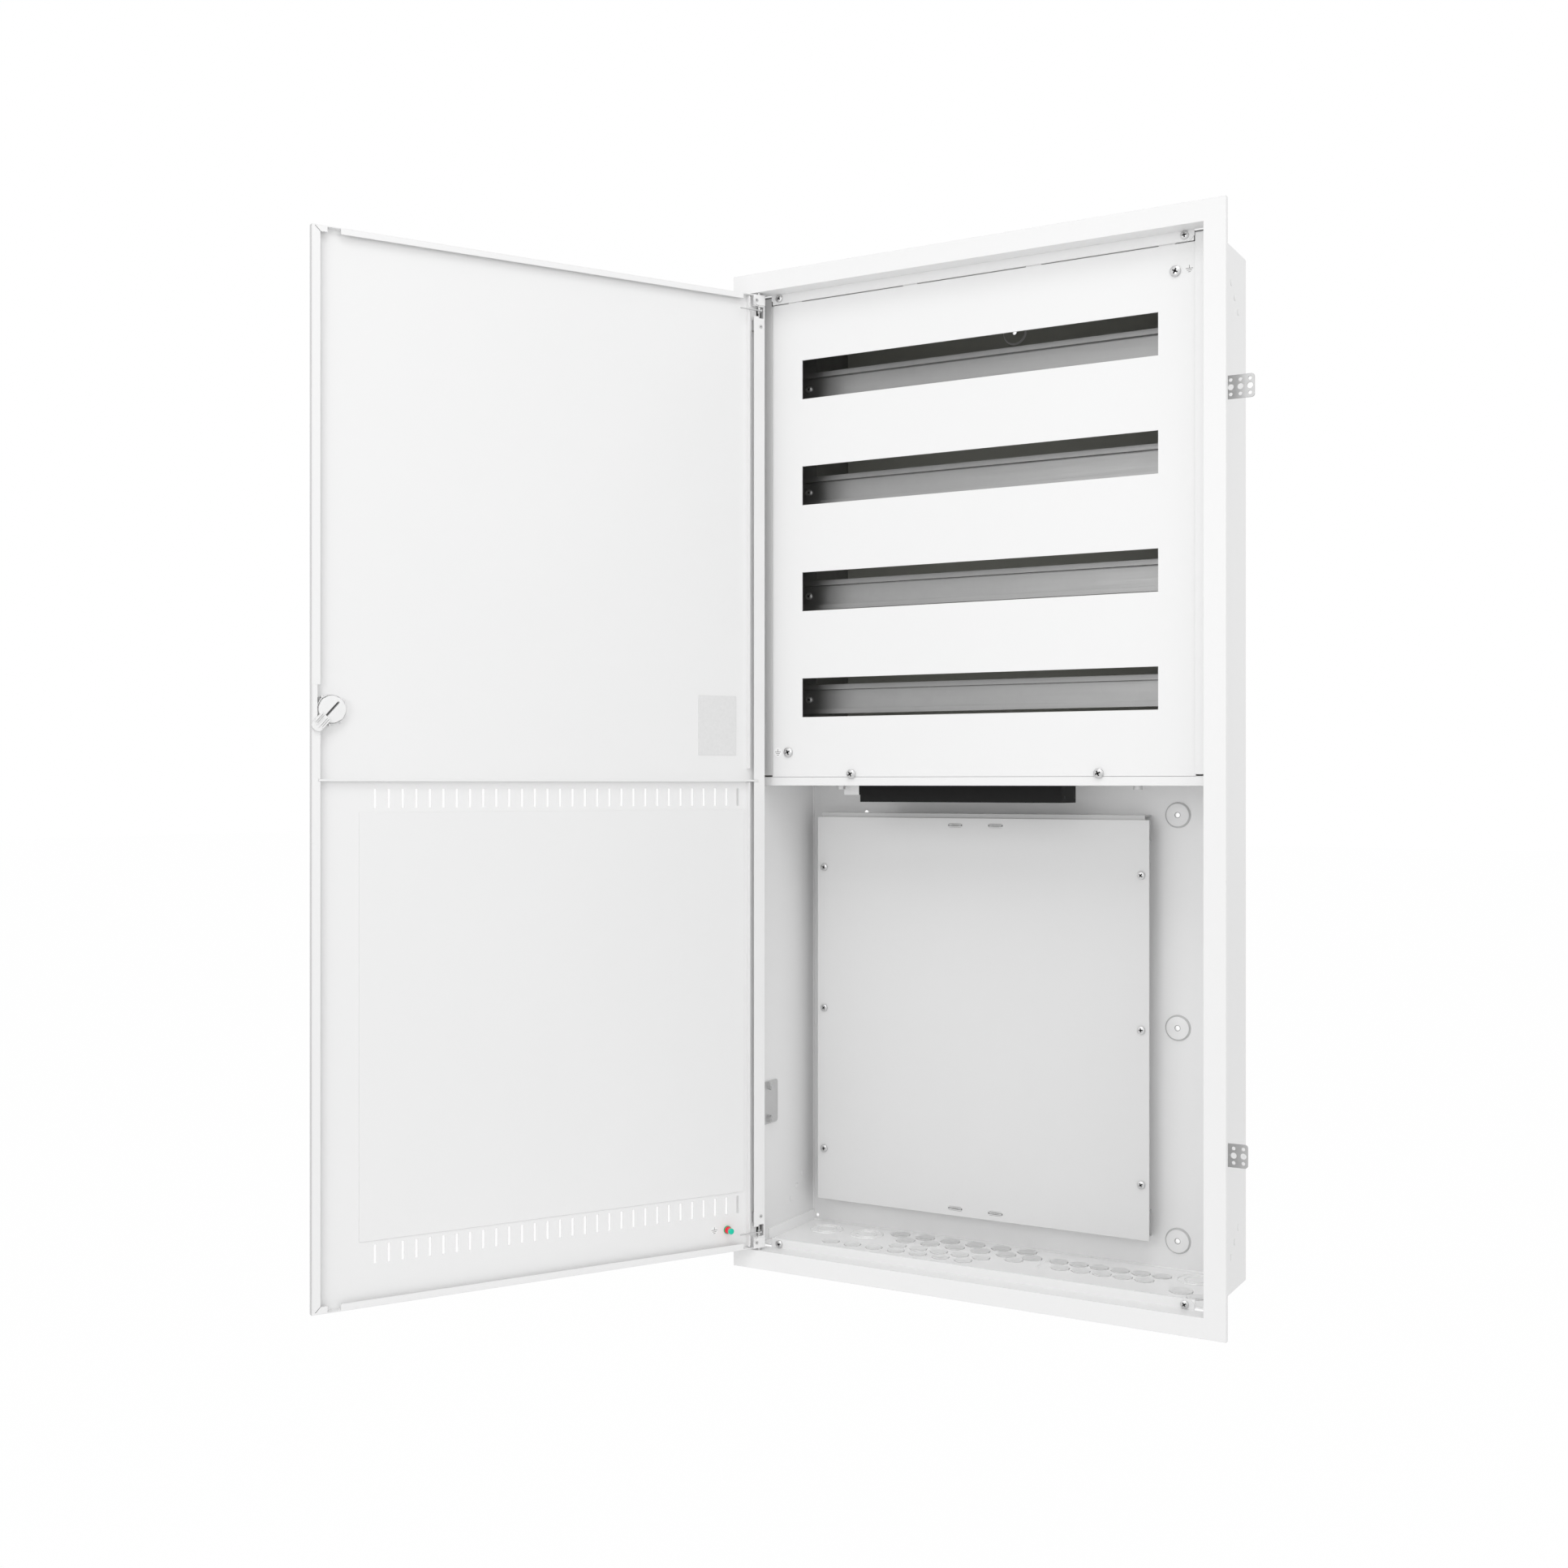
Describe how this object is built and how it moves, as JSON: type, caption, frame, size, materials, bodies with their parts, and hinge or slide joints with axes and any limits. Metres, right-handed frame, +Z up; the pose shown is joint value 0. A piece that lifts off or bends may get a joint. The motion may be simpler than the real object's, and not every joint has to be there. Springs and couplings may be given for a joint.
{
  "type": "flush-mounted distribution cabinet",
  "caption": "Flush-mounted sheet steel wall cabinet with a hinged door, a slotted cover over mounting rails and an open equipment compartment below.",
  "frame": {"origin": "centre of the box's back outer face, which lies against the wall", "axes": "+X right as seen from the front, +Y back into the wall, +Z up"},
  "size_m": [0.8478, 0.6161, 1.175],
  "materials": {
    "white_powder_coat": "satin powder coat",
    "zinc_plated_steel": "zinc plated, dull",
    "black_plastic": "moulded, fine grain",
    "brush_fibre": "dense nylon bristles",
    "spring_steel": "bright drawn wire",
    "white_plastic": "moulded, satin",
    "green_plastic": "moulded",
    "red_plastic": "moulded",
    "teal_plastic": "moulded",
    "label_film": "printed film, blank"
  },
  "bodies": {
    "cabinet": {"anchor_bolts": "zinc_plated_steel", "anchor_clamp_plates": "zinc_plated_steel", "anchor_nuts": "zinc_plated_steel", "back_shell": "white_powder_coat", "bottom_end_plate": "white_powder_coat", "cable_entry_bracket": "white_powder_coat", "cable_entry_brushes": "brush_fibre", "cable_entry_frame": "black_plastic", "captive_screws": "zinc_plated_steel", "cover_screws": "zinc_plated_steel", "din_rail_1": "zinc_plated_steel", "din_rail_2": "zinc_plated_steel", "din_rail_3": "zinc_plated_steel", "din_rail_4": "zinc_plated_steel", "frame_screws": "zinc_plated_steel", "front_frame": "white_powder_coat", "module_cover": "white_powder_coat", "mounting_plate": "white_powder_coat", "partition_shelf": "white_powder_coat", "plate_carrier_left": "zinc_plated_steel", "plate_carrier_right": "zinc_plated_steel", "plate_screws": "zinc_plated_steel", "plate_tie_bottom": "zinc_plated_steel", "plate_tie_top": "zinc_plated_steel", "rail_screws": "zinc_plated_steel", "rail_upright_left": "zinc_plated_steel", "rail_upright_right": "zinc_plated_steel", "shelf_bolts": "zinc_plated_steel", "shelf_nuts": "zinc_plated_steel", "side_strip_left": "white_powder_coat", "side_strip_right": "white_powder_coat", "top_end_plate": "white_powder_coat", "wall_anchor_1": "zinc_plated_steel", "wall_anchor_2": "zinc_plated_steel", "wall_anchor_3": "zinc_plated_steel", "wall_anchor_4": "zinc_plated_steel"},
    "door": {"door_cross_rib": "white_powder_coat", "door_earth_mark": "label_film", "door_earth_stud": "zinc_plated_steel", "door_hinge_stiffener": "white_powder_coat", "door_inner_panel": "white_powder_coat", "door_label_plate": "label_film", "door_panel": "white_powder_coat", "earth_cap": "teal_plastic", "earth_ring": "green_plastic", "earth_washer": "red_plastic", "hinge_leaf_bottom": "white_powder_coat", "hinge_leaf_top": "white_powder_coat", "hinge_screws_bottom": "zinc_plated_steel", "hinge_screws_top": "zinc_plated_steel", "hinge_spring_bottom": "spring_steel", "hinge_spring_top": "spring_steel", "latch_housing": "white_plastic", "spring_seat_bottom": "zinc_plated_steel", "spring_seat_top": "zinc_plated_steel"},
    "upper_hinge_pin": {"hinge_pin_top": "zinc_plated_steel"},
    "lower_hinge_pin": {"hinge_pin_bottom": "zinc_plated_steel"},
    "latch": {"latch_cam": "white_plastic", "latch_knob": "white_plastic"}
  },
  "joints": [
    {"name": "door_hinge", "type": "hinge", "parent": "cabinet", "child": "door", "pos_m": [-0.2624, -0.1524, 0], "axis": [0, 0, -1], "range_deg": [-120, 6]},
    {"name": "upper_hinge_pin_slide", "type": "slide", "parent": "door", "child": "upper_hinge_pin", "axis": [0, 0, -1], "range_m": [0, 0.004], "stiffness_N_per_m": 400, "springref_m": -0.004, "deforming": ["hinge_spring_top"]},
    {"name": "lower_hinge_pin_slide", "type": "slide", "parent": "door", "child": "lower_hinge_pin", "axis": [0, 0, 1], "range_m": [0, 0.004], "stiffness_N_per_m": 400, "springref_m": -0.004, "deforming": ["hinge_spring_bottom"]},
    {"name": "latch_turn", "type": "hinge", "parent": "door", "child": "latch", "pos_m": [-0.51715, -0.59364, 0.06195], "axis": [-0.866, 0.5, 0], "range_deg": [-45, 45]}
  ]
}
